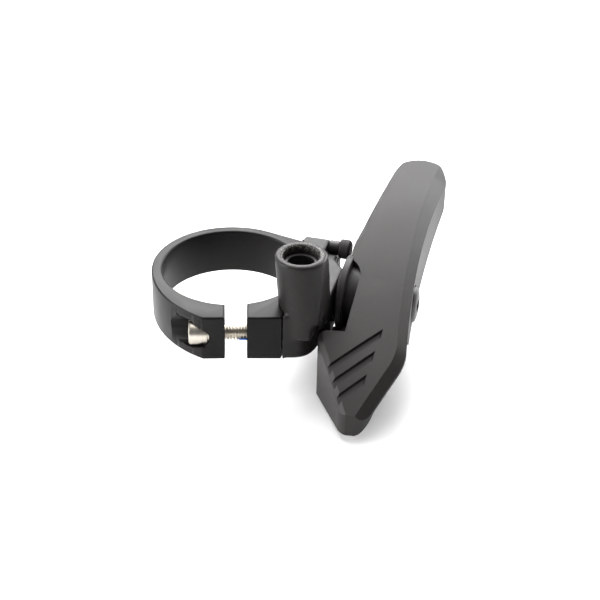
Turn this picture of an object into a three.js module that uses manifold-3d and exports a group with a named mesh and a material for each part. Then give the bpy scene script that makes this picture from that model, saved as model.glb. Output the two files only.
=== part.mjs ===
// Thumb shifter for a 31.8 mm handlebar: a slotted band clamp, a cast pod with a tapered cable inlet,
// and a two-armed thumb lever that turns on a pivot standing out from the bar.
// Millimetres. The origin is the middle of the bar bore and Z is the bar's axis.
// The pod, the pivot and the lever are laid out in the pod frame, which is turned about Z: its X is
// the pivot axis, pointing away from the bar, and its -Y end carries the cable inlet.
import * as THREE from 'three';
import { mergeVertices } from 'three/addons/utils/BufferGeometryUtils.js';
import Module from 'manifold-3d';

const wasm = await Module();
wasm.setup();

// ---------- driving dimensions ----------
const BAR_RADIUS = 15.9;
const BAND_WALL = 2.4;
const BAND_HALF_WIDTH = 5.5;
const SLOT_LEFT = -1.3;
const SLOT_RIGHT = 3.55;
const EAR_FRONT = -21.4;
const EAR_LEFT = -6.1;
const SCREW_Y = -18.5;
const SCREW_RADIUS = 2.0;
const POD_ANGLE = -16.5;
const SEAM_X = 16.8;
const GAP = 0.3;
const PIVOT_Y = 4.0;
const PIVOT_Z = 0.0;
const INLET_X = 19.1;
const INLET_Y = -10.8;
const INLET_TOP = 18.2;
const CRANK_LENGTH = 15.0;
const CRANK_REST = 10;
const CRANK_LEFT = 20.0;
const CRANK_RIGHT = 21.3;
const CHAMBER_END = 21.6;
const STOP_Y = 14.3;
const STOP_Z = 5.8;
const POD_SCREW_Y = 10.4;
const POD_SCREW_Z = 2.6;
const FACE_RADIUS = 166;
const FACE_CENTRE_Y = 58.1;
const FACE_CENTRE_Z = -148.9;

const POD_END = 24.8;
const INLET_LEAN = 0.12;
const STUB_END = 33.0;
const HUB_WEB = 34.2;
const SPRING_RADIUS = 5.2;

// pad of the lever: where it starts, the back of its horn, and its lowest line
const PAD_START = -9.0;
const FLANGE_RADIUS = 9.3;
const HORN_BACK = -12.5;
const PAD_DEPTH = -15.4;
const HEAD_SEAT = SLOT_LEFT - 3.3;
const WINDOW_RADIUS = 2.3;
const HEAD_RADIUS = 2.85;
const BAND_RADIUS = BAR_RADIUS + BAND_WALL;
const SEAT_RADIUS = BAND_RADIUS + GAP;
const podTurn = THREE.MathUtils.degToRad(POD_ANGLE);

// ---------- small helpers ----------
const toSolid = (geometry) => {
  const bare = geometry.clone();
  bare.deleteAttribute('normal');
  bare.deleteAttribute('uv');
  const merged = mergeVertices(bare, 1e-4);
  const vertProperties = new Float32Array(merged.attributes.position.array);
  const triVerts = new Uint32Array(merged.index.array);
  return new wasm.Manifold(new wasm.Mesh({ numProp: 3, vertProperties, triVerts }));
};

const toGeometry = (solid) => {
  const mesh = solid.getMesh();
  const geometry = new THREE.BufferGeometry();
  geometry.setAttribute('position', new THREE.BufferAttribute(new Float32Array(mesh.vertProperties), 3));
  geometry.setIndex(new THREE.BufferAttribute(new Uint32Array(mesh.triVerts), 1));
  geometry.computeVertexNormals();
  return geometry;
};

// a prism of a plan shape, from z0 to z1
const prism = (shape, z0, z1, curveSegments = 16) => {
  const geometry = new THREE.ExtrudeGeometry(shape, { depth: z1 - z0, bevelEnabled: false, curveSegments });
  geometry.translate(0, 0, z0);
  return toSolid(geometry);
};

// a prism of a side shape drawn in (y, z), from x0 to x1
const sidePrism = (shape, x0, x1, curveSegments = 16) => {
  const geometry = new THREE.ExtrudeGeometry(shape, { depth: x1 - x0, bevelEnabled: false, curveSegments });
  geometry.applyMatrix4(new THREE.Matrix4().set(0, 0, 1, x0, 1, 0, 0, 0, 0, 1, 0, 0, 0, 0, 0, 1));
  return toSolid(geometry);
};

// a round bar along X from x0 to x1, at (y, z)
const rodX = (radius, x0, x1, y, z, sides = 32) => {
  const geometry = new THREE.CylinderGeometry(radius, radius, x1 - x0, sides);
  geometry.rotateZ(-Math.PI / 2);
  geometry.translate((x0 + x1) / 2, y, z);
  return toSolid(geometry);
};

// a round bar along Z from z0 to z1, at (x, y)
const rodZ = (radius, z0, z1, x, y, sides = 32) => {
  const geometry = new THREE.CylinderGeometry(radius, radius, z1 - z0, sides);
  geometry.rotateX(Math.PI / 2);
  geometry.translate(x, y, (z0 + z1) / 2);
  return toSolid(geometry);
};

const block = (x0, x1, y0, y1, z0, z1) => {
  const geometry = new THREE.BoxGeometry(x1 - x0, y1 - y0, z1 - z0);
  geometry.translate((x0 + x1) / 2, (y0 + y1) / 2, (z0 + z1) / 2);
  return toSolid(geometry);
};

// a turned piece: points are [x along the axis, radius], closed on the axis, at (y, z)
const turnedX = (points, y, z, sides = 32) => {
  const profile = points.map(([along, radius]) => new THREE.Vector2(radius, along));
  const geometry = new THREE.LatheGeometry(profile, sides);
  geometry.rotateZ(-Math.PI / 2);
  geometry.translate(0, y, z);
  return toSolid(geometry);
};

const polygon = (points) => new THREE.Shape(points.map(([x, y]) => new THREE.Vector2(x, y)));

// a flat ring round the axis X at (y, z)
const ringX = (inner, outer, x0, x1, y, z, sides = 32) =>
  rodX(outer, x0, x1, y, z, sides).subtract(rodX(inner, x0 - 1, x1 + 1, y, z, sides));

const turnPod = (solid) => solid.rotate([0, 0, POD_ANGLE]);

const finishes = {
  blackAnodised: { color: 0x2b2927, roughness: 0.45, metalness: 0.6 },
  castBlack: { color: 0x252422, roughness: 0.6, metalness: 0.2 },
  mouldedBlack: { color: 0x32302e, roughness: 0.65, metalness: 0.0 },
  stainless: { color: 0xb9b4ac, roughness: 0.3, metalness: 1.0 },
  springSteel: { color: 0x8a8883, roughness: 0.35, metalness: 1.0 },
  brass: { color: 0xb08d4a, roughness: 0.35, metalness: 1.0 },
  acetal: { color: 0xd8d4c8, roughness: 0.5, metalness: 0.0 },
  rubber: { color: 0x1c1b1a, roughness: 0.85, metalness: 0.0 },
  blackSteel: { color: 0x2a2826, roughness: 0.4, metalness: 0.9 },
  threadlock: { color: 0x1f5fb8, roughness: 0.5, metalness: 0.0 },
};

const shifter = new THREE.Group();
const pod = new THREE.Group();
pod.rotation.z = podTurn;
shifter.add(pod);

const addPiece = (parent, name, solid, finish) => {
  const mesh = new THREE.Mesh(toGeometry(solid), new THREE.MeshStandardMaterial(finishes[finish]));
  mesh.name = name;
  parent.add(mesh);
};

// ---------- clamp band ----------
const makeClampBand = () => {
  const outline = new THREE.Shape();
  const tangent = THREE.MathUtils.degToRad(60.8);
  const frontArcX = 6.67;
  const frontArcRadius = BAND_RADIUS + frontArcX;
  outline.absarc(0, 0, BAND_RADIUS, Math.PI, tangent, true);
  outline.lineTo(19.5, 10.06);
  outline.lineTo(19.5, EAR_FRONT);
  outline.lineTo(EAR_LEFT, EAR_FRONT);
  const endAngle = Math.atan2(EAR_FRONT, EAR_LEFT - frontArcX);
  outline.absarc(frontArcX, 0, frontArcRadius, endAngle, -Math.PI, true);
  const outer = prism(outline, -BAND_HALF_WIDTH, BAND_HALF_WIDTH, 48);
  const seamCut = turnPod(block(SEAM_X - 0.15, 40, -40, 40, -10, 10));
  const barrel = rodZ(BAND_RADIUS, -BAND_HALF_WIDTH, BAND_HALF_WIDTH, 0, 0, 96);
  const bore = rodZ(BAR_RADIUS, -10, 10, 0, 0, 96);
  const slot = block(SLOT_LEFT, SLOT_RIGHT, -30, -10, -10, 10);
  const screwHole = rodX(SCREW_RADIUS + 0.25, -8, 14.2, SCREW_Y, 0);
  // the pocket breaks out through the ear's face, where its end is left round
  const windowX = HEAD_SEAT - WINDOW_RADIUS;
  const skin = block(windowX, HEAD_SEAT, EAR_FRONT - 1, EAR_FRONT + 0.35, -4, 4);
  const roundEnd = rodZ(WINDOW_RADIUS, 20, 23, windowX, 0).rotate([90, 0, 0]);
  const pocket = rodX(3.6, -25, HEAD_SEAT, SCREW_Y, 0).subtract(skin.subtract(roundEnd));
  let band = outer.subtract(seamCut).add(barrel).subtract(bore).subtract(slot);
  band = band.subtract(screwHole).subtract(pocket);
  for (const z of [-POD_SCREW_Z, POD_SCREW_Z]) {
    band = band.subtract(turnPod(rodX(2.55, 6, 15.45, POD_SCREW_Y, z)));
    band = band.subtract(turnPod(rodX(1.45, 14, 20, POD_SCREW_Y, z)));
  }
  return band;
};
addPiece(shifter, 'clamp_band', makeClampBand(), 'blackAnodised');

// ---------- clamp screw, its washer and its thread lock ----------
const makeClampScrew = () => {
  const head = HEAD_SEAT - 0.6;
  const body = turnedX(
    [
      [head - 4.0, 0],
      [head - 4.0, HEAD_RADIUS - 0.35],
      [head - 3.65, HEAD_RADIUS],
      [head, HEAD_RADIUS],
      [head, SCREW_RADIUS],
      [10.8, SCREW_RADIUS],
      [11.2, SCREW_RADIUS - 0.4],
      [11.2, 0],
    ],
    SCREW_Y,
    0,
  );
  const socket = rodX(1.75, head - 5, head - 2, SCREW_Y, 0, 6);
  return body.subtract(socket);
};
addPiece(shifter, 'clamp_screw', makeClampScrew(), 'stainless');
const clampWasher = ringX(SCREW_RADIUS + 0.15, 2.5, HEAD_SEAT - 0.5, HEAD_SEAT - 0.1, SCREW_Y, 0);
addPiece(shifter, 'clamp_washer', clampWasher, 'stainless');

const makeThreadlock = () => {
  const ring = ringX(SCREW_RADIUS + 0.04, SCREW_RADIUS + 0.16, 1.3, 3.3, SCREW_Y, 0, 24);
  return ring.intersect(block(0, 5, SCREW_Y - 3, SCREW_Y + 3, -3, -0.9));
};
addPiece(shifter, 'threadlock_patch', makeThreadlock(), 'threadlock');

// ---------- pod housing ----------
const makePodHousing = () => {
  const plan = new THREE.Shape();
  plan.moveTo(SEAM_X, -17.3);
  plan.lineTo(19.4, -16.5);
  plan.quadraticCurveTo(22.9, -15.6, 23.4, -10.4);
  plan.lineTo(POD_END, -5.5);
  plan.lineTo(POD_END, 6.2);
  plan.lineTo(22.1, 9.7);
  plan.lineTo(22.1, 16.0);
  plan.lineTo(20.4, 17.7);
  plan.lineTo(13.8, 17.7);
  plan.lineTo(12.1, 16.5);
  plan.lineTo(SEAM_X, 15.45);
  const slab = prism(plan, -BAND_HALF_WIDTH, BAND_HALF_WIDTH);

  // tapered inlet, leaning out from the bar towards its foot
  const cone = new THREE.CylinderGeometry(5.75, 6.5, INLET_TOP, 48);
  cone.rotateX(Math.PI / 2);
  cone.translate(0, 0, -INLET_TOP / 2);
  cone.applyMatrix4(new THREE.Matrix4().set(1, 0, -INLET_LEAN, 0, 0, 1, 0, 0, 0, 0, 1, 0, 0, 0, 0, 1));
  cone.translate(INLET_X, INLET_Y, INLET_TOP);
  const inlet = toSolid(cone).subtract(block(POD_END, 40, -30, 30, -1, 30));
  const bandRoom = block(0, SEAM_X, -30, 30, -10, BAND_HALF_WIDTH + GAP);
  const hornRoom = block(23.2, 40, -30, -11.4, -10, 3.5);
  let housing = slab.add(inlet.subtract(bandRoom).subtract(hornRoom));

  // raised lug beside the stop post, and the notch that the post stands in
  const lug = polygon([
    [9.9, 5.0],
    [9.9, 7.6],
    [14.6, 7.6],
    [17.7, 5.5],
    [17.7, 5.0],
  ]);
  const flankRoom = block(0, SEAM_X, -30, 15.6, -10, BAND_HALF_WIDTH + GAP);
  housing = housing.add(sidePrism(lug, 13.6, 19.5).subtract(flankRoom));
  housing = housing.subtract(block(19.5, 30, 11.9, 20, 3.2, 10));
  housing = housing.subtract(rodX(1.35, 16.9, 20, STOP_Y, STOP_Z, 20));

  // stub that carries the pivot bushes
  housing = housing.add(rodX(4.3, 24, STUB_END, PIVOT_Y, PIVOT_Z));

  // seat round the band, and room for the bar
  housing = housing.subtract(rodZ(SEAT_RADIUS, -10, BAND_HALF_WIDTH + GAP, 0, 0, 96));
  housing = housing.subtract(rodZ(BAR_RADIUS + 0.25, 0, 30, 0, 0, 96));

  // inlet bore for the liner, then the cable passage into the crank chamber
  housing = housing.subtract(rodZ(3.95, 8.5, 30, INLET_X, INLET_Y));
  housing = housing.subtract(rodZ(1.6, 0, 10, INLET_X, INLET_Y, 20));

  // crank chamber, open towards the band and under the cable
  const chamber = polygon([
    [PIVOT_Y + 4.7, -3.6],
    [PIVOT_Y + 4.7, 3.6],
    [PIVOT_Y, 4.6],
    [-6.6, 6.7],
    [-14.6, 6.7],
    [-14.6, -9],
    [-7.0, -9],
    [-4.2, -4.9],
    [PIVOT_Y, -4.6],
  ]);
  const chamberPlan = polygon([
    [15, -14.6],
    [20.5, -14.6],
    [CHAMBER_END, -13.85],
    [CHAMBER_END, 9],
    [15, 9],
  ]);
  housing = housing.subtract(sidePrism(chamber, 15, CHAMBER_END).intersect(prism(chamberPlan, -10, 10)));

  // bushes' bore, the spring leg's hole and the tapped holes of the pod screws
  housing = housing.subtract(rodX(3.1, 20, 34, PIVOT_Y, PIVOT_Z));
  housing = housing.subtract(rodX(0.6, 23.5, 26, PIVOT_Y - SPRING_RADIUS, PIVOT_Z, 12));
  for (const z of [-POD_SCREW_Z, POD_SCREW_Z]) {
    housing = housing.subtract(rodX(1.4, 15, 21.4, POD_SCREW_Y, z, 20));
  }
  return housing;
};
addPiece(pod, 'pod_housing', makePodHousing(), 'castBlack');

const liner = rodZ(3.75, 8.7, 16.2, INLET_X, INLET_Y).subtract(rodZ(2.95, 10.2, 18, INLET_X, INLET_Y));
addPiece(pod, 'inlet_liner', liner.subtract(rodZ(1.1, 5, 12, INLET_X, INLET_Y, 16)), 'acetal');

// ---------- pod screws, sunk in the band from inside the bore ----------
for (const [name, z] of [
  ['pod_screw_upper', POD_SCREW_Z],
  ['pod_screw_lower', -POD_SCREW_Z],
]) {
  const body = turnedX(
    [
      [13.9, 0],
      [13.9, 2.25],
      [15.35, 2.25],
      [15.35, 1.25],
      [20.9, 1.25],
      [20.9, 0],
    ],
    POD_SCREW_Y,
    z,
    24,
  );
  addPiece(pod, name, body.subtract(rodX(0.8, 13, 14.9, POD_SCREW_Y, z, 6)), 'stainless');
}

// ---------- stop post and its bumper ----------
const stopPost = turnedX(
  [
    [17.1, 0],
    [17.1, 1.2],
    [19.6, 1.2],
    [19.6, 1.7],
    [22.0, 1.7],
    [22.0, 1.3],
    [24.3, 1.3],
    [24.3, 0],
  ],
  STOP_Y,
  STOP_Z,
  24,
);
addPiece(pod, 'stop_post', stopPost, 'springSteel');
const bumperBody = turnedX(
  [
    [22.15, 0],
    [22.15, 2.1],
    [22.35, 2.3],
    [24.3, 2.3],
    [24.8, 1.8],
    [24.8, 0],
  ],
  STOP_Y,
  STOP_Z,
  24,
);
addPiece(pod, 'stop_bumper', bumperBody.subtract(rodX(1.45, 20, 24.5, STOP_Y, STOP_Z, 24)), 'rubber');

// ---------- pivot: bushes, shaft, crank, washers, seal, screw ----------
addPiece(pod, 'inner_bush', ringX(2.1, 3.0, 22.9, 25.7, PIVOT_Y, PIVOT_Z), 'acetal');
addPiece(pod, 'outer_bush', ringX(2.1, 3.0, 30.1, 32.9, PIVOT_Y, PIVOT_Z), 'acetal');

const makePivotShaft = () => {
  const round = turnedX(
    [
      [CRANK_LEFT - 1.0, 0],
      [CRANK_LEFT - 1.0, 1.9],
      [CRANK_LEFT - 0.7, 1.9],
      [CRANK_LEFT - 0.7, 1.35],
      [CRANK_LEFT - 0.15, 1.35],
      [CRANK_LEFT - 0.15, 1.9],
      [CRANK_RIGHT + 0.2, 1.95],
      [33.9, 1.95],
      [33.9, 0],
    ],
    PIVOT_Y,
    PIVOT_Z,
  );
  const shoulder = CRANK_RIGHT + 0.2;
  const crankSquare = block(18, shoulder, PIVOT_Y - 1.4, PIVOT_Y + 1.4, -1.4, 1.4);
  const drive = round.intersect(crankSquare.add(block(shoulder, 34, PIVOT_Y - 3, PIVOT_Y + 3, -3, 3)));
  const leverSquare = block(33.9, 39.2, PIVOT_Y - 1.55, PIVOT_Y + 1.55, -1.55, 1.55);
  return drive.add(leverSquare).subtract(rodX(1.25, 31, 40, PIVOT_Y, PIVOT_Z, 20));
};
addPiece(pod, 'pivot_shaft', makePivotShaft(), 'stainless');

const crankAngle = THREE.MathUtils.degToRad(CRANK_REST);
const ANCHOR_Y = PIVOT_Y - CRANK_LENGTH * Math.cos(crankAngle);
const CABLE_X = 18.6;
const ANCHOR_Z = PIVOT_Z + CRANK_LENGTH * Math.sin(crankAngle);

const makeCrank = () => {
  const arm = block(CRANK_LEFT, CRANK_RIGHT, -CRANK_LENGTH, 0, -2.2, 2.2).rotate([-CRANK_REST, 0, 0]);
  let crank = arm.translate([0, PIVOT_Y, PIVOT_Z]);
  crank = crank.add(rodX(4.2, CRANK_LEFT, CRANK_RIGHT, PIVOT_Y, PIVOT_Z));
  crank = crank.add(rodX(2.7, CRANK_LEFT, CRANK_RIGHT, ANCHOR_Y, ANCHOR_Z));
  crank = crank.subtract(block(18, 24, PIVOT_Y - 1.55, PIVOT_Y + 1.55, -1.55, 1.55));
  return crank.subtract(rodX(1.9, 18, 24, ANCHOR_Y, ANCHOR_Z, 24));
};
addPiece(pod, 'crank_arm', makeCrank(), 'springSteel');

const makeClip = () => {
  const ring = ringX(1.5, 3.3, CRANK_LEFT - 0.65, CRANK_LEFT - 0.2, PIVOT_Y, PIVOT_Z, 24);
  return ring.subtract(block(18, 22, PIVOT_Y - 5, PIVOT_Y, -0.9, 0.9));
};
addPiece(pod, 'retaining_clip', makeClip(), 'springSteel');

// cradle that holds the cable's end and swivels in the crank
const makeCradle = () => {
  const barrel = turnedX(
    [
      [16.95, 0],
      [16.95, 3.2],
      [CRANK_LEFT - 0.15, 3.2],
      [CRANK_LEFT - 0.15, 1.75],
      [CRANK_RIGHT, 1.75],
      [CRANK_RIGHT, 0],
    ],
    ANCHOR_Y,
    ANCHOR_Z,
  );
  const seat = rodZ(2.0, ANCHOR_Z - 5, ANCHOR_Z + 0.8, CABLE_X, ANCHOR_Y, 24);
  return barrel.subtract(seat).subtract(rodZ(0.9, ANCHOR_Z, ANCHOR_Z + 5, CABLE_X, ANCHOR_Y, 16));
};
addPiece(pod, 'cable_cradle', makeCradle(), 'brass');

addPiece(pod, 'thrust_washer', ringX(2.15, 4.3, 33.15, 33.55, PIVOT_Y, PIVOT_Z), 'brass');
addPiece(pod, 'wave_washer', ringX(2.15, 4.2, 33.7, 34.05, PIVOT_Y, PIVOT_Z), 'springSteel');

const makeSeal = () => {
  const ring = new THREE.TorusGeometry(6.5, 0.33, 8, 32);
  ring.rotateY(Math.PI / 2);
  ring.translate(25.25, PIVOT_Y, PIVOT_Z);
  return toSolid(ring);
};
addPiece(pod, 'dust_seal', makeSeal(), 'rubber');

// ---------- return spring: a torsion coil round the stub, with a leg into the pod and one into the lever ----------
class SpringPath extends THREE.Curve {
  getPoint(t, target = new THREE.Vector3()) {
    const legLength = 2.2;
    const coilStart = 26.5;
    const pitch = 0.98;
    const turns = 4.5;
    const span = turns * pitch;
    const legShare = 0.06;
    const along = THREE.MathUtils.clamp((t - legShare) / (1 - 2 * legShare), 0, 1);
    const lead = Math.min(t / legShare, 1) - 1;
    const trail = Math.max((t - 1 + legShare) / legShare, 0);
    const angle = Math.PI + along * turns * Math.PI * 2;
    const x = coilStart + along * span + lead * legLength + trail * 3.9;
    return target.set(x, PIVOT_Y + SPRING_RADIUS * Math.cos(angle), PIVOT_Z + SPRING_RADIUS * Math.sin(angle));
  }
}
const makeSpring = () => {
  const wire = new THREE.Shape();
  wire.absarc(0, 0, 0.38, 0, Math.PI * 2, false);
  return toSolid(
    new THREE.ExtrudeGeometry(wire, { steps: 96, curveSegments: 4, bevelEnabled: false, extrudePath: new SpringPath() }),
  );
};
addPiece(pod, 'return_spring', makeSpring(), 'springSteel');

// ---------- thumb lever ----------
const makeLever = () => {
  const plan = new THREE.Shape();
  plan.moveTo(34.4, -29.7);
  plan.quadraticCurveTo(33.2, -29.3, 32.4, -28.2);
  plan.lineTo(24.3, -14.8);
  plan.quadraticCurveTo(23.9, -13.5, 25.2, -13.0);
  plan.lineTo(29.8, -12.5);
  plan.lineTo(29.8, 1.5);
  plan.quadraticCurveTo(29.6, 4.5, 26.6, 6.0);
  plan.quadraticCurveTo(26.2, 8, 26.3, 11.0);
  plan.lineTo(29.5, 37.4);
  plan.absarc(36.1, 37.2, 6.55, Math.PI, 0, true);
  plan.quadraticCurveTo(39.8, 12, 43.85, -13.5);
  plan.quadraticCurveTo(44.2, -16, 43.2, -18.6);
  plan.lineTo(39.4, -27.6);
  plan.quadraticCurveTo(38.6, -29.3, 37.2, -29.7);
  const outline = prism(plan, -30, 40, 12);

  // side view: the face is one long arc, the underside sags below the hub
  const side = new THREE.Shape();
  const firstY = -32;
  const lastY = 46;
  const arcAngle = (y) => Math.acos((y - FACE_CENTRE_Y) / FACE_RADIUS);
  side.absarc(FACE_CENTRE_Y, FACE_CENTRE_Z, FACE_RADIUS, arcAngle(firstY), arcAngle(lastY), true);
  side.lineTo(lastY, 11.2);
  side.quadraticCurveTo(7, -8.15, firstY, -14.5);
  const body = outline.intersect(sidePrism(side, 20, 50, 24));
  const arms = body.intersect(block(20, 50, PAD_START, 50, -30, 30));

  // the pad is deep along its left side; its underside rises to the right edge and drops at the tip
  const deep = new THREE.Shape();
  deep.moveTo(PAD_START, 10);
  deep.lineTo(PAD_START, -12.0);
  deep.lineTo(HORN_BACK, PAD_DEPTH);
  deep.lineTo(firstY, PAD_DEPTH + 0.11 * (HORN_BACK - firstY));
  deep.lineTo(firstY, 10);
  const face = sidePrism(side, 20, 50, 24).add(sidePrism(deep, 20, 50).intersect(block(20, 50, -32, 0, -30, -9)));
  const uncut = outline.intersect(face).intersect(sidePrism(deep, 20, 50));
  const sloped = (across, along, height, fromY, toY) => {
    const length = Math.hypot(across, along, 1);
    const stretch = uncut.intersect(block(20, 50, fromY, toY, -30, 30));
    return stretch.trimByPlane([-across, -along, 1], height / length);
  };
  const heel = sloped(0.66, 0.264, -27.54, -26.51, 0);
  const pad = heel.add(sloped(0.66, 0.864, -11.64, -32, -26.5));
  const thinEdge = polygon([
    [PAD_START - 0.1, -30],
    [PAD_START - 0.1, -1.2],
    [-1.5, -6.5],
    [-1.5, -30],
  ]);
  let lever = arms.subtract(sidePrism(thinEdge, 39.5, 50)).add(pad);

  // web behind the horn, between the barrel and the pad
  const web = polygon([
    [HORN_BACK - 0.3, -4.2],
    [1.0, -4.2],
    [1.0, -7.0],
    [PAD_START, -12.0],
    [HORN_BACK - 0.3, -14.0],
  ]);
  lever = lever.add(sidePrism(web, 25.9, 30.5));
  lever = lever.add(sidePrism(web, 25.1, 26.5).intersect(block(25, 27, -13, -3.3, -20, 0)));

  // hub: a barrel round the pivot, with a chamber for the spring and a square bore for the shaft
  lever = lever.add(rodX(7.1, 25.7, 39.4, PIVOT_Y, PIVOT_Z, 48));
  lever = lever.add(rodX(FLANGE_RADIUS, 25.7, 27.2, PIVOT_Y, PIVOT_Z, 56));
  lever = lever.subtract(rodX(6.1, 20, HUB_WEB, PIVOT_Y, PIVOT_Z, 48));
  lever = lever.subtract(rodX(4.7, 39.4, 50, PIVOT_Y, PIVOT_Z, 40));
  lever = lever.subtract(block(30, 42, PIVOT_Y - 1.75, PIVOT_Y + 1.75, -1.75, 1.75));
  lever = lever.subtract(rodX(0.6, 30, 36.2, PIVOT_Y + SPRING_RADIUS, PIVOT_Z, 12));

  // tooth that meets the stop post's bumper at full travel
  const toothAngle = -THREE.MathUtils.degToRad(15);
  const toothY = PIVOT_Y + 10.6 * Math.cos(toothAngle);
  const toothZ = PIVOT_Z + 10.6 * Math.sin(toothAngle);
  lever = lever.add(rodX(1.5, 23.2, 30, toothY, toothZ, 24));

  // three grooves across the thumb pad, at 45 degrees
  const grooveWidth = 1.55;
  const grooveDepth = 0.8;
  for (let i = 0; i < 3; i += 1) {
    const across = 35.0 + i * 3.3;
    const endAlong = (26.4 - i * 5.75) / Math.SQRT2;
    const cut = block(-30, endAlong, -grooveWidth / 2, grooveWidth / 2, -40, 40);
    const placed = cut.rotate([0, 0, 45]).translate([across / Math.SQRT2, -across / Math.SQRT2, 0]);
    const below = sidePrism(side, 20, 50, 24).translate([0, 0, -grooveDepth]);
    lever = lever.subtract(placed.subtract(below).intersect(block(20, 50, -32, -8, -14, 10)));
  }
  return lever;
};
addPiece(pod, 'lever_body', makeLever(), 'mouldedBlack');

// ---------- pivot screw and washer, in the recess at the lever's outer side ----------
addPiece(pod, 'pivot_washer', ringX(1.4, 4.5, 39.5, 39.9, PIVOT_Y, PIVOT_Z), 'stainless');
const makePivotScrew = () => {
  const body = turnedX(
    [
      [34.5, 0],
      [34.5, 1.1],
      [40.0, 1.1],
      [40.0, 4.3],
      [42.0, 4.3],
      [42.7, 3.5],
      [42.95, 2.4],
      [42.95, 0],
    ],
    PIVOT_Y,
    PIVOT_Z,
  );
  return body.subtract(rodX(1.45, 41.4, 44, PIVOT_Y, PIVOT_Z, 6));
};
addPiece(pod, 'pivot_screw', makePivotScrew(), 'blackSteel');

export default shifter;
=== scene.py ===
import math

import bmesh
import bpy
from mathutils import Matrix, Vector


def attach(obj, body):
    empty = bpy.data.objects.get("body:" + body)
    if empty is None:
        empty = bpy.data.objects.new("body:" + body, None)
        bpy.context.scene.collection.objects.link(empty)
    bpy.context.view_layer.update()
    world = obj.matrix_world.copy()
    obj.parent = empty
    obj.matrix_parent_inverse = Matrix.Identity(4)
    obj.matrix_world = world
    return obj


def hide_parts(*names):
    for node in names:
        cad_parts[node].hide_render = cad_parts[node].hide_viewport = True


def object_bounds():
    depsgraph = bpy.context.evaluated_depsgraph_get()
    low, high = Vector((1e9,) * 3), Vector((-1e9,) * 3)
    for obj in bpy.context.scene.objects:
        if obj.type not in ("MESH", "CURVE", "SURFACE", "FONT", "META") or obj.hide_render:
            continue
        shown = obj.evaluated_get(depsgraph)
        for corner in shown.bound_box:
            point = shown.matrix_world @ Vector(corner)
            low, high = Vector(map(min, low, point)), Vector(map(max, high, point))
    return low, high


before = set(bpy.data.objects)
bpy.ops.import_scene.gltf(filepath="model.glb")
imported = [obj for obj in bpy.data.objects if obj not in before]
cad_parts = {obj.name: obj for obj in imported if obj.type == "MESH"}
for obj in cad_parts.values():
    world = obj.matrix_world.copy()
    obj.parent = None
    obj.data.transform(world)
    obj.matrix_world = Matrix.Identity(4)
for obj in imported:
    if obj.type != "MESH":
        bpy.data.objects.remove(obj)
cad_box = [list(corner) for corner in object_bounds()]


# Studio: a matt white sheet under the shifter, with soft boxes behind and above it, to its left, and
# behind it on the right.
# The camera looks down at the clamp's slot from the rider's side, with a slight roll.
camera_turn = math.radians(-2.3238)
camera_drop = math.radians(32.8743)
camera_roll = math.radians(1.2498)
across = Vector((math.cos(camera_turn), math.sin(camera_turn), 0))
ahead = Vector(
    (
        -math.sin(camera_turn) * math.cos(camera_drop),
        math.cos(camera_turn) * math.cos(camera_drop),
        -math.sin(camera_drop),
    )
)
above = across.cross(ahead)
camera_side = across * math.cos(camera_roll) + above * math.sin(camera_roll)
camera_top = above * math.cos(camera_roll) - across * math.sin(camera_roll)
camera_data = bpy.data.cameras.new("camera")
camera_data.lens = 82.462
camera_data.sensor_width = 36
camera_data.clip_start = 0.01
camera_data.clip_end = 20
camera = bpy.data.objects.new("camera", camera_data)
camera.matrix_world = Matrix.Translation((0.004922, -0.26902, 0.170254)) @ Matrix(
    (camera_side, camera_top, -ahead)
).transposed().to_4x4()
bpy.context.scene.collection.objects.link(camera)
bpy.context.scene.camera = camera
bpy.context.scene.view_settings.view_transform = "Standard"


class Tone:
    """One output among a finish's nodes. Sums on it add the nodes that work them out."""

    def __init__(self, tree, socket):
        self.tree = tree
        self.socket = socket

    def node(self, kind, settings, values, output=0):
        made = self.tree.nodes.new(kind)
        for name, setting in settings.items():
            if name == "stops":
                stops = made.color_ramp.elements
                for place, (position, colour) in enumerate(setting):
                    stop = stops[place] if place < len(stops) else stops.new(position)
                    stop.position = position
                    stop.color = (*colour, 1)
            else:
                setattr(made, name, setting)
        for name, value in values.items():
            if isinstance(value, Tone):
                self.tree.links.new(value.socket, made.inputs[name])
            else:
                made.inputs[name].default_value = value
        return Tone(self.tree, made.outputs[output])

    def maths(self, operation, first, second=0.0):
        return self.node("ShaderNodeMath", {"operation": operation}, {0: first, 1: second})

    def __add__(self, other):
        return self.maths("ADD", self, other)

    __radd__ = __add__

    def __sub__(self, other):
        return self.maths("SUBTRACT", self, other)

    def __rsub__(self, other):
        return self.maths("SUBTRACT", other, self)

    def __mul__(self, other):
        return self.maths("MULTIPLY", self, other)

    __rmul__ = __mul__

    def __truediv__(self, other):
        return self.maths("DIVIDE", self, other)

    def between(self, low, high):
        """0 up to low, 1 from high on, and a straight slope from one to the other."""
        return self.node(
            "ShaderNodeMapRange",
            {"clamp": True},
            {"Value": self, "From Min": low, "From Max": high, "To Min": 0.0, "To Max": 1.0},
        )

    def noise(self, scale, detail=2.0, roughness=0.5):
        return self.node(
            "ShaderNodeTexNoise",
            {},
            {"Vector": self, "Scale": scale, "Detail": detail, "Roughness": roughness},
        )

    def blended(self, first, second):
        """A colour: first where this tone is 0, second where it is 1."""
        return self.node(
            "ShaderNodeMix", {"data_type": "RGBA"}, {0: self, 6: (*first, 1), 7: (*second, 1)}, 2
        )


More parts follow.
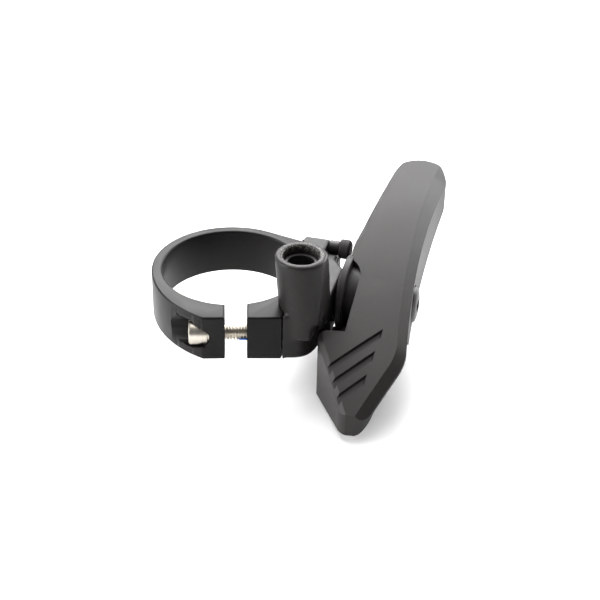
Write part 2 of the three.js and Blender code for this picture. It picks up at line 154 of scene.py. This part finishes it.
def new_finish(name, roughness, metallic=0.0, specular=0.5):
    """An empty finish: its material, its shader and the place on the piece."""
    finish = bpy.data.materials.new(name)
    finish.use_nodes = True
    tree = finish.node_tree
    shader = tree.nodes["Principled BSDF"]
    shader.inputs["Roughness"].default_value = roughness
    shader.inputs["Metallic"].default_value = metallic
    shader.inputs["Specular IOR Level"].default_value = specular
    place = Tone(tree, tree.nodes.new("ShaderNodeTexCoord").outputs["Object"])
    return finish, shader, place


def lay(shader, **tones):
    """Links tones to the shader's sockets, named with _ for a space."""
    for name, tone in tones.items():
        tone.tree.links.new(tone.socket, shader.inputs[name.replace("_", " ")])


def bumped(height, depth):
    """A normal from a height of 0 to 1, which stands for a depth in metres."""
    return height.node("ShaderNodeBump", {}, {"Distance": depth, "Height": height})


floor_finish, floor_shader, floor_place = new_finish("white_sheet", 0.9, specular=0.2)
lay(
    floor_shader,
    Base_Color=floor_place.noise(60, 3).blended((0.9, 0.9, 0.9), (0.93, 0.93, 0.93)),
)
floor_shape = bmesh.new()
bmesh.ops.create_grid(floor_shape, x_segments=1, y_segments=1, size=3)
bmesh.ops.translate(floor_shape, verts=floor_shape.verts, vec=(0, 0, cad_box[0][2] - 0.0002))
floor_mesh = bpy.data.meshes.new("floor")
floor_shape.to_mesh(floor_mesh)
floor_shape.free()
floor = bpy.data.objects.new("floor", floor_mesh)
floor.data.materials.append(floor_finish)
bpy.context.scene.collection.objects.link(floor)

studio = bpy.data.worlds.new("studio")
studio.use_nodes = True
studio.node_tree.nodes["Background"].inputs["Color"].default_value = (1, 1, 1, 1)
studio.node_tree.nodes["Background"].inputs["Strength"].default_value = 0.16
bpy.context.scene.world = studio

for name, place, size, power in [
    ("box_behind", (-0.05, 0.42, 0.36), 0.40, 7.0),
    ("box_above", (0.0, 0.05, 0.70), 0.60, 4.5),
    ("box_left", (-0.50, -0.06, 0.14), 0.30, 3.4),
    ("box_right", (0.42, 0.40, 0.20), 0.30, 4.5),
]:
    lamp = bpy.data.lights.new(name, "AREA")
    lamp.shape = "SQUARE"
    lamp.size = size
    lamp.energy = power
    lamp_object = bpy.data.objects.new(name, lamp)
    lamp_object.location = place
    lamp_object.rotation_mode = "QUATERNION"
    lamp_object.rotation_quaternion = (Vector((0.01, 0, 0)) - Vector(place)).to_track_quat("-Z", "Y")
    bpy.context.scene.collection.objects.link(lamp_object)


# Clamp band: a ring with two ears, sawn through between them. Milled from aluminium bar, its corners
# broken all round, and bead blasted and anodised black, which leaves a satin grey-black skin.
POD_TURN = Matrix.Rotation(math.radians(-16.5), 4, "Z")
MM = 0.001
SHORTEST_EDGE = 0.22
RIM_WIDTH = 0.42


def from_solid(node):
    """A copy of a machined solid as clean faces."""
    shape = bmesh.new()
    shape.from_mesh(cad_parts[node].data)
    bmesh.ops.remove_doubles(shape, verts=shape.verts, dist=2e-6)
    bmesh.ops.dissolve_limit(
        shape, angle_limit=math.radians(0.4), verts=shape.verts, edges=shape.edges
    )
    bmesh.ops.recalc_face_normals(shape, faces=shape.faces)
    return shape


def broken_corners(piece, width, segments=2, angle=32):
    """Rounds every corner sharper than an angle, by a width in mm."""
    bevel = piece.modifiers.new("broken_corners", "BEVEL")
    bevel.width = width * MM
    bevel.segments = segments
    bevel.limit_method = "ANGLE"
    bevel.angle_limit = math.radians(angle)
    bevel.use_clamp_overlap = True
    bevel.harden_normals = True


def as_piece(name, shape, finish, body, nodes, sharp=35):
    """Makes a piece of a finished shape, which stands for CAD nodes and rides on their body."""
    mesh = bpy.data.meshes.new(name)
    shape.to_mesh(mesh)
    shape.free()
    mesh.shade_smooth()
    mesh.set_sharp_from_angle(angle=math.radians(sharp))
    piece = bpy.data.objects.new(name, mesh)
    bpy.context.scene.collection.objects.link(piece)
    mesh.materials.append(finish)
    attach(piece, body)
    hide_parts(*nodes)
    return piece


anodised, anodised_shader, anodised_place = new_finish("anodised_band", 0.42, specular=0.14)
blast = anodised_place.noise(5200, 2)
cloud = anodised_place.noise(160, 3)
lay(
    anodised_shader,
    Base_Color=(0.6 * cloud + 0.4 * blast).blended((0.004, 0.0037, 0.0035), (0.009, 0.0083, 0.0078)),
    Roughness=0.36 + 0.14 * cloud,
    Normal=bumped(blast, 0.000008),
)
band_shape = from_solid("clamp_band")
bmesh.ops.remove_doubles(band_shape, verts=band_shape.verts, dist=SHORTEST_EDGE * MM)
bmesh.ops.recalc_face_normals(band_shape, faces=band_shape.faces)
rims = [
    edge
    for edge in band_shape.edges
    if len(edge.link_faces) == 2
    and sorted(abs(face.normal.z) > 0.9 for face in edge.link_faces) == [False, True]
]
bmesh.ops.bevel(
    band_shape,
    geom=rims,
    offset=RIM_WIDTH * MM,
    offset_type="OFFSET",
    segments=3,
    profile=0.5,
    affect="EDGES",
    material=-1,
    clamp_overlap=False,
)
as_piece("band", band_shape, anodised, "housing", ["clamp_band"])


# Clamp screw: an M4 socket cap screw in stainless steel, cold headed and rolled, which draws the ears
# together. Its head is sunk in the left ear on a washer, and its thread crosses the slot.
SCREW_Y = -18.5
SCREW_HEAD_LEFT = -9.2
SCREW_HEAD_RIGHT = -5.2
HEAD_RADIUS = 2.85
SCREW_END = 11.2
PITCH = 0.7


def turned(shape, points, centre, steps=48):
    """Turns an open profile of (distance along X, radius) points about an axis along X, in mm."""
    rim = [shape.verts.new((along, centre[0] + radius, centre[1])) for along, radius in points]
    edges = [shape.edges.new(pair) for pair in zip(rim, rim[1:])]
    bmesh.ops.spin(
        shape,
        geom=rim + edges,
        cent=(0, centre[0], centre[1]),
        axis=(1, 0, 0),
        dvec=(0, 0, 0),
        angle=2 * math.pi,
        steps=steps,
        use_merge=True,
    )
    bmesh.ops.remove_doubles(shape, verts=shape.verts, dist=1e-4)
    bmesh.ops.recalc_face_normals(shape, faces=shape.faces)


steel, steel_shader, steel_place = new_finish("bright_steel", 0.3, metallic=1.0)
turning = steel_place.node(
    "ShaderNodeMapping", {}, {"Vector": steel_place, "Scale": (9.0, 0.6, 0.6)}
).noise(900, 4)
lay(
    steel_shader,
    Base_Color=turning.blended((0.42, 0.385, 0.33), (0.66, 0.62, 0.55)),
    Roughness=0.22 + 0.2 * turning,
    Normal=bumped(turning, 0.000006),
)
screw_shape = bmesh.new()
turned(
    screw_shape,
    [
        (SCREW_HEAD_LEFT + 2.0, 0),
        (SCREW_HEAD_LEFT + 2.0, 1.75),
        (SCREW_HEAD_LEFT + 0.25, 1.75),
        (SCREW_HEAD_LEFT, 2.0),
        (SCREW_HEAD_LEFT, HEAD_RADIUS - 0.35),
        (SCREW_HEAD_LEFT + 0.12, HEAD_RADIUS - 0.12),
        (SCREW_HEAD_LEFT + 0.4, HEAD_RADIUS),
        (SCREW_HEAD_RIGHT, HEAD_RADIUS),
        (SCREW_HEAD_RIGHT, 1.95),
        (SCREW_HEAD_RIGHT + 1.2, 1.95),
        (SCREW_HEAD_RIGHT + 1.4, 1.6),
        (SCREW_END - 0.6, 1.6),
        (SCREW_END - 0.2, 1.4),
        (SCREW_END - 0.2, 0),
    ],
    (SCREW_Y, 0),
)
thread_steps = 28
thread_turns = 21
thread_start = SCREW_HEAD_RIGHT + 1.0
flank = [
    screw_shape.verts.new((thread_start + PITCH * along, SCREW_Y + radius, 0))
    for along, radius in [(0, 1.58), (0.08, 1.58), (0.44, 1.95), (0.56, 1.95), (0.92, 1.58), (1, 1.58)]
]
bmesh.ops.spin(
    screw_shape,
    geom=flank + [screw_shape.edges.new(pair) for pair in zip(flank, flank[1:])],
    cent=(0, SCREW_Y, 0),
    axis=(1, 0, 0),
    dvec=(PITCH / thread_steps, 0, 0),
    angle=2 * math.pi * thread_turns,
    steps=thread_steps * thread_turns,
)
bmesh.ops.remove_doubles(screw_shape, verts=screw_shape.verts, dist=1e-3)
bmesh.ops.recalc_face_normals(screw_shape, faces=screw_shape.faces)
bmesh.ops.scale(screw_shape, verts=screw_shape.verts, vec=(MM, MM, MM))
as_piece(
    "screw", screw_shape, steel, "housing", ["clamp_screw"], sharp=28
)

washer = as_piece(
    "washer", from_solid("clamp_washer"), steel, "housing", ["clamp_washer"]
)
broken_corners(washer, 0.06)


# Thread lock: a dried blue patch brushed on the lower side of the screw's thread before it was fitted.
# It sits beside the right ear, a crumbly film on the thread.
patch_finish, patch_shader, patch_place = new_finish("dried_thread_lock", 0.45)
crumbs = patch_place.noise(2600, 3)
lay(
    patch_shader,
    Base_Color=crumbs.blended((0.0, 0.05, 0.33), (0.01, 0.2, 0.75)),
    Normal=bumped(crumbs, 0.00006),
)
PATCH_SHIFT = (0.5 * MM, 0, 0.2 * MM)
patch_shape = from_solid("threadlock_patch")
bmesh.ops.translate(patch_shape, verts=patch_shape.verts, vec=PATCH_SHIFT)
as_piece(
    "thread_lock",
    patch_shape,
    patch_finish,
    "housing",
    ["threadlock_patch"],
)


# Pod: the cast body that carries the pivot, the stop and the cable inlet. Die cast with soft corners,
# tumbled and coated black, so its skin is a little mottled; the inlet's rim is left rough inside.
SOFT_END_BACK = -0.0085
SOFT_END_TOP = 0.0065
SOFT_END_LEFT = 0.0172
RIM_BOTTOM = 0.0166


def baked(piece):
    """Fixes a piece's modifiers in its mesh."""
    seen = piece.evaluated_get(bpy.context.evaluated_depsgraph_get())
    mesh = bpy.data.meshes.new_from_object(seen)
    mesh.name = piece.data.name
    piece.modifiers.clear()
    piece.data = mesh
    return mesh


def softened(shape, corners, passes):
    """Draws corners towards their neighbours, once for each pass."""
    for _ in range(passes):
        bmesh.ops.smooth_vert(
            shape, verts=corners, factor=0.5, use_axis_x=True, use_axis_y=True, use_axis_z=True
        )


cast, cast_shader, cast_place = new_finish("cast_pod", 0.45, specular=0.22)
mottle = cast_place.noise(420, 4, 0.6)
pits = cast_place.noise(3600, 3, 0.6)
height = cast_place.node("ShaderNodeSeparateXYZ", {}, {0: cast_place}, 2)
inlet_centre = POD_TURN @ Vector((0.0191, -0.0108, 0))
from_inlet = cast_place.node(
    "ShaderNodeVectorMath",
    {"operation": "DISTANCE"},
    {0: cast_place, 1: (inlet_centre.x, inlet_centre.y, 0.0178)},
    1,
)
rough_edge = (1 - from_inlet.between(0.0046, 0.0052)) * height.between(0.0160, 0.0172)
chips = rough_edge * cast_place.noise(5200, 2).between(0.56, 0.66)
lay(
    cast_shader,
    Base_Color=chips.node(
        "ShaderNodeMix",
        {"data_type": "RGBA"},
        {
            0: chips,
            6: (0.65 * mottle + 0.35 * pits).blended((0.005, 0.0046, 0.0042), (0.018, 0.0165, 0.0155)),
            7: (0.28, 0.27, 0.25, 1),
        },
        2,
    ),
    Roughness=0.34 + 0.24 * mottle,
    Normal=bumped(0.6 * mottle + 0.4 * pits, 0.00006),
)
pod_shape = from_solid("pod_housing")
pod = as_piece("pod", pod_shape, cast, "housing", ["pod_housing"])
remesh = pod.modifiers.new("casting", "REMESH")
remesh.mode = "VOXEL"
remesh.voxel_size = 0.3 * MM
baked(pod)
pod_shape = bmesh.new()
pod_shape.from_mesh(pod.data)
softened(pod_shape, pod_shape.verts, 3)
unturned = POD_TURN.inverted()
soft_end = [
    corner
    for corner in pod_shape.verts
    if (unturned @ corner.co).y < SOFT_END_BACK
    and corner.co.z < SOFT_END_TOP
    and (unturned @ corner.co).x > SOFT_END_LEFT
]
rim = [corner for corner in pod_shape.verts if corner.co.z > RIM_BOTTOM]
softened(pod_shape, rim, 9)
softened(pod_shape, soft_end, 16)
pod_shape.to_mesh(pod.data)
pod_shape.free()
pod.data.shade_smooth()


# Liner: the low-friction plastic sleeve pushed into the inlet, in which the cable housing's end sits.
# Moulded in black acetal.
acetal, acetal_shader, acetal_place = new_finish("black_acetal", 0.4)
sheen = acetal_place.noise(900, 3)
lay(
    acetal_shader,
    Base_Color=sheen.blended((0.008, 0.008, 0.008), (0.02, 0.019, 0.018)),
    Roughness=0.32 + 0.2 * sheen,
    Normal=bumped(sheen, 0.00001),
)
for name, node in [
    ("liner", "inlet_liner"),
    ("inner_bearing", "inner_bush"),
    ("outer_bearing", "outer_bush"),
]:
    sleeve = as_piece(name, from_solid(node), acetal, "housing", [node])
    broken_corners(sleeve, 0.12)


# Pod screws: two low-head screws put in from the bar's side of the band before it goes on the bar.
# Stainless steel, with their heads sunk below the bore.
for name, node in [("upper_pod_screw", "pod_screw_upper"), ("lower_pod_screw", "pod_screw_lower")]:
    pod_screw = as_piece(name, from_solid(node), steel, "housing", [node])
    broken_corners(pod_screw, 0.12)


# Stop: a black steel post screwed into the pod, with a rubber bumper pressed over its end. The lever's
# tooth comes up against the bumper when the lever is pressed home.
oxide, oxide_shader, oxide_place = new_finish("black_oxide", 0.38, specular=0.3)
oxide_patch = oxide_place.noise(700, 4)
lay(
    oxide_shader,
    Base_Color=oxide_patch.blended((0.006, 0.0056, 0.0052), (0.02, 0.0185, 0.017)),
    Roughness=0.3 + 0.22 * oxide_patch,
    Normal=bumped(oxide_patch, 0.000015),
)
post = as_piece("post", from_solid("stop_post"), oxide, "housing", ["stop_post"])
broken_corners(post, 0.15)

rubber, rubber_shader, rubber_place = new_finish("black_rubber", 0.7, specular=0.35)
bloom = rubber_place.noise(1500, 3)
lay(
    rubber_shader,
    Base_Color=bloom.blended((0.008, 0.0075, 0.007), (0.022, 0.020, 0.019)),
    Roughness=0.6 + 0.2 * bloom,
    Normal=bumped(bloom, 0.00002),
)
for name, node in [("bumper", "stop_bumper"), ("seal", "dust_seal")]:
    soft_part = as_piece(name, from_solid(node), rubber, "housing", [node])
    if name == "bumper":
        broken_corners(soft_part, 0.3, 3)


# Lever: one glass-filled nylon moulding with a fine spark-eroded grain. A long thumb arm reaches one way
# and a pointed pad with three grooves the other, with a barrel between them that turns on the pivot.
FACE_RADIUS = 166
FACE_CENTRE = (58.1, -148.9)
PIVOT = (4.0, 0.0)
PAD_GROOVES = [(35.0, 37.95), (38.3, 37.40), (41.6, 36.87)]
GROOVE_WIDTH = 1.55
GROOVE_DEPTH = 0.8


def face_height(y):
    return FACE_CENTRE[1] + math.sqrt(FACE_RADIUS**2 - (y - FACE_CENTRE[0]) ** 2)


def bowed(start, pull, end, steps=10):
    """Points along a curve from start to end that leans towards pull."""
    return [
        tuple(
            (1 - t) ** 2 * start[axis] + 2 * t * (1 - t) * pull[axis] + t * t * end[axis]
            for axis in range(2)
        )
        for t in (step / steps for step in range(steps + 1))
    ]


def under_height(x, y):
    """Underside: bowed under the arms, deep at the pad's left and rising to its right edge."""
    if y > -9:
        t = (y + 32) / 78
        bow = (1 - t) ** 2 * -14.5 + 2 * t * (1 - t) * -8.15 + t * t * 11.2
        return max(bow, -1.2 - 0.69 * (y + 9.1)) if x > 39.5 and y < -1.5 else bow
    lowest = -12.0 - 3.4 * min(1, (-9 - y) / 3.5) + 0.11 * max(0, -12.5 - y)
    return max(lowest, 0.66 * x + 0.264 * y - 27.52 - 0.6 * max(0, -26.5 - y))


def across_at(edge, y):
    """Where an edge, given as points of rising y, crosses a y."""
    for (x0, y0), (x1, y1) in zip(edge, edge[1:]):
        if y <= y1:
            return x0 + (x1 - x0) * max(0.0, (y - y0) / max(1e-9, y1 - y0))
    return edge[-1][0]


end_turn = [
    (36.1 - 6.55 * math.cos(math.radians(3 * step)), 37.2 + 6.55 * math.sin(math.radians(3 * step)))
    for step in range(31)
]
left_edge = (
    bowed((34.4, -29.7), (33.2, -29.3), (32.4, -28.2))
    + bowed((24.3, -14.8), (23.9, -13.5), (25.2, -13.0))
    + [(29.8, -12.5), (29.8, 1.5)]
    + bowed((29.8, 1.5), (29.6, 4.5), (26.6, 6.0))
    + bowed((26.6, 6.0), (26.2, 8.0), (26.3, 11.0))
    + [(29.55, 37.2)]
    + end_turn
)
right_edge = (
    bowed((37.2, -29.7), (38.6, -29.3), (39.4, -27.6))
    + bowed((43.2, -18.6), (44.2, -16.0), (43.85, -13.5))
    + bowed((43.85, -13.5), (39.8, 12.0), (42.65, 37.2), 24)
    + [(72.2 - x, y) for x, y in end_turn]
)
left_flank = [(33.3, -29.7), (24.3, -14.8), (23.9, -13.4), (25.2, -13.0), (29.8, -12.5), (29.8, 1.5)]
left_flank += [(26.6, 6.0), (26.3, 11.0), (29.55, 37.2), (30.4, 44.0)]
right_flank = [(38.5, -29.7), (43.2, -18.6)] + bowed((43.2, -18.6), (44.2, -16.0), (43.85, -13.5))
right_flank += bowed((43.85, -13.5), (39.8, 12.0), (42.65, 37.2), 24) + [(43.7, 44.0)]
stations = sorted(
    {-29.7, -29.6, -29.45, -29.2, -28.8, -28.2}
    | {-13.0, -12.98, -12.5, -12.49, 1.5, 2.2, 3, 4, 5, 5.6, 6, 43.75}
    | {-27.6 + 0.8 * step for step in range(17)}
    | {-14.6, -14.3, -14.0, -13.7, -13.4, -13.2}
    | {-11.6 + 1.5 * step for step in range(9)}
    | {7 + 1.4 * step for step in range(22)}
    | {37.2 + 6.55 * math.sin(math.radians(6 * step)) for step in range(16)}
)


def left_chamfer(y):
    if y < -13.1:
        return 1.05
    if y < 6:
        return 0.06
    return 0.06 + 0.9 * min(1, (y - 6) / 10)


def right_chamfer(y):
    return 2.2 if y < 12 else 2.2 + 0.9 * min(1, (y - 12) / 26)


lever_shape = bmesh.new()
bmesh.ops.create_grid(lever_shape, x_segments=3, y_segments=len(stations) - 1, size=1)
columns = sorted({round(corner.co.x, 4) for corner in lever_shape.verts})
rows = sorted({round(corner.co.y, 5) for corner in lever_shape.verts})
for corner in lever_shape.verts:
    column = columns.index(round(corner.co.x, 4))
    y = stations[rows.index(round(corner.co.y, 5))]
    left, right = across_at(left_edge, y), across_at(right_edge, y)
    left_line = across_at(left_flank, y) + left_chamfer(y)
    right_line = across_at(right_flank, y) - right_chamfer(y)
    spare = (right - left) * 0.02 + 0.01
    x = [
        left,
        min(max(left_line, left + spare), right - 2 * spare),
        max(min(right_line, right - spare), left + 2 * spare),
        right,
    ][column]
    drop = max(0, left_line - x) + 0.75 * max(0, x - right_line)
    corner.co = (x, y, face_height(y) - drop)
lower = bmesh.ops.extrude_face_region(lever_shape, geom=lever_shape.faces[:])["geom"]
for corner in (item for item in lower if isinstance(item, bmesh.types.BMVert)):
    corner.co.z = min(under_height(corner.co.x, corner.co.y), corner.co.z - 0.3)
bmesh.ops.recalc_face_normals(lever_shape, faces=lever_shape.faces)


def as_tool(name, shape):
    """A shape that cuts or joins the lever, and is then thrown away."""
    mesh = bpy.data.meshes.new(name)
    shape.to_mesh(mesh)
    shape.free()
    tool = bpy.data.objects.new(name, mesh)
    bpy.context.scene.collection.objects.link(tool)
    return tool


tools = []
for name, operation, points in [
    ("barrel", "UNION", [(25.7, 0), (25.7, 6.8), (26.0, 7.1), (39.4, 7.1), (39.4, 0)]),
    ("flange", "UNION", [(25.7, 0), (25.7, 9.1), (25.9, 9.3), (27.0, 9.3), (27.2, 9.1), (27.2, 0)]),
    ("chamber", "DIFFERENCE", [(20, 0), (20, 6.1), (34.2, 6.1), (34.2, 0)]),
    ("recess", "DIFFERENCE", [(39.4, 0), (39.4, 4.7), (50, 4.7), (50, 0)]),
]:
    tool_shape = bmesh.new()
    turned(tool_shape, points, PIVOT, 64)
    tools.append((as_tool(name, tool_shape), operation))
bore_shape = bmesh.new()
bmesh.ops.create_cube(bore_shape, size=1)
bmesh.ops.scale(bore_shape, verts=bore_shape.verts, vec=(12, 3.5, 3.5))
bmesh.ops.translate(bore_shape, verts=bore_shape.verts, vec=(36, PIVOT[0], PIVOT[1]))
tools.append((as_tool("square_bore", bore_shape), "DIFFERENCE"))
for name, start, thickness, near in [("web", 25.9, 4.6, 1.0), ("web_foot", 25.1, 1.4, -3.3)]:
    web_shape = bmesh.new()
    web_side = [(-12.8, -4.2), (near, -4.2), (near, -12.0 + 0.5 * (near + 9)), (-9.0, -12.0), (-12.8, -14.0)]
    web_face = web_shape.faces.new([web_shape.verts.new((start, y, z)) for y, z in web_side])
    web_far = bmesh.ops.extrude_face_region(web_shape, geom=[web_face])["geom"]
    bmesh.ops.translate(
        web_shape,
        verts=[item for item in web_far if isinstance(item, bmesh.types.BMVert)],
        vec=(thickness, 0, 0),
    )
    bmesh.ops.recalc_face_normals(web_shape, faces=web_shape.faces)
    tools.insert(0, (as_tool(name, web_shape), "UNION"))
tooth_shape = bmesh.new()
turned(
    tooth_shape,
    [(23.2, 0), (23.2, 1.2), (23.5, 1.5), (31, 1.5), (31, 0)],
    (
        PIVOT[0] + 10.6 * math.cos(math.radians(15)),
        PIVOT[1] - 10.6 * math.sin(math.radians(15)),
    ),
    32,
)
tools.append((as_tool("tooth", tooth_shape), "UNION"))
for middle, end_x in PAD_GROOVES:
    groove_shape = bmesh.new()
    bmesh.ops.create_grid(groove_shape, x_segments=16, y_segments=1, size=1)
    for corner in groove_shape.verts:
        side = middle + corner.co.y * GROOVE_WIDTH / 2
        end = math.sqrt(2) * end_x - side
        along = end - (1 - corner.co.x) * 12
        depth = GROOVE_DEPTH if corner.co.x < 0.99 else -0.12
        if 0.8 < corner.co.x < 0.99:
            along = end - 0.75
        x, y = (along + side) / math.sqrt(2), (along - side) / math.sqrt(2)
        corner.co = (x, y, face_height(y) - depth)
    raised = bmesh.ops.extrude_face_region(groove_shape, geom=groove_shape.faces[:])["geom"]
    bmesh.ops.translate(
        groove_shape,
        verts=[item for item in raised if isinstance(item, bmesh.types.BMVert)],
        vec=(0, 0, 6),
    )
    bmesh.ops.recalc_face_normals(groove_shape, faces=groove_shape.faces)
    tools.append((as_tool("groove", groove_shape), "DIFFERENCE"))

nylon, nylon_shader, nylon_place = new_finish("grained_nylon", 0.5, specular=0.25)
spark = nylon_place.noise(4200, 2, 0.6)
drift = nylon_place.noise(90, 3)
lay(
    nylon_shader,
    Base_Color=(0.5 * drift + 0.5 * spark).blended((0.011, 0.0102, 0.0096), (0.026, 0.0242, 0.0228)),
    Roughness=0.42 + 0.12 * drift + 0.06 * spark,
    Normal=bumped(spark, 0.000028),
)
lever = as_piece("lever", lever_shape, nylon, "lever", ["lever_body"])
for tool, operation in tools:
    cut = lever.modifiers.new(tool.name, "BOOLEAN")
    cut.operation = operation
    cut.solver = "EXACT"
    cut.object = tool
baked(lever)
for tool, operation in tools:
    bpy.data.objects.remove(tool)
lever_shape = bmesh.new()
lever_shape.from_mesh(lever.data)
bmesh.ops.remove_doubles(lever_shape, verts=lever_shape.verts, dist=2e-3)
bmesh.ops.dissolve_degenerate(lever_shape, edges=lever_shape.edges, dist=1e-3)
bmesh.ops.transform(
    lever_shape, matrix=POD_TURN @ Matrix.Scale(MM, 4), verts=lever_shape.verts
)
bmesh.ops.recalc_face_normals(lever_shape, faces=lever_shape.faces)
lever_shape.to_mesh(lever.data)
lever_shape.free()
lever.data.shade_smooth()
lever.data.set_sharp_from_angle(angle=math.radians(24))
broken_corners(lever, 0.2, 2, 24)


# Pivot: a stainless shaft with squared ends carries the lever outside and the crank inside the pod. A
# black screw and a washer hold the lever on it; a spring clip in the shaft's groove holds the crank.
for name, node, finish, material_slot, width in [
    ("shaft", "pivot_shaft", steel, "stainless", 0.12),
    ("lever_washer", "pivot_washer", steel, "stainless", 0.08),
    ("lever_screw", "pivot_screw", oxide, "dark_steel", 0.25),
    ("crank", "crank_arm", oxide, "dark_steel", 0.12),
    ("shaft_clip", "retaining_clip", oxide, "dark_steel", 0.06),
    ("spring_washer", "wave_washer", oxide, "dark_steel", 0.05),
]:
    pivot_part = as_piece(name, from_solid(node), finish, "lever", [node])
    broken_corners(pivot_part, width)


# Brass parts: a thrust washer between the lever and the pod's stub, and the swivelling cradle on the
# crank that holds the cable's end. Turned from rod.
brass, brass_shader, brass_place = new_finish("turned_brass", 0.3, metallic=1.0)
tarnish = brass_place.noise(500, 4)
lay(
    brass_shader,
    Base_Color=tarnish.blended((0.42, 0.27, 0.09), (0.72, 0.52, 0.22)),
    Roughness=0.24 + 0.22 * tarnish,
    Normal=bumped(brass_place.noise(3000, 2), 0.000006),
)
for name, node, body in [
    ("brass_washer", "thrust_washer", "lever"),
    ("cradle", "cable_cradle", "cradle"),
]:
    brass_part = as_piece(name, from_solid(node), brass, body, [node])
    broken_corners(brass_part, 0.08)


# Return spring: a torsion coil of black spring wire wound round the pod's stub, with one leg in the pod
# and the other in the lever.
as_piece(
    "spring", from_solid("return_spring"), oxide, "housing", ["return_spring"], sharp=60
)
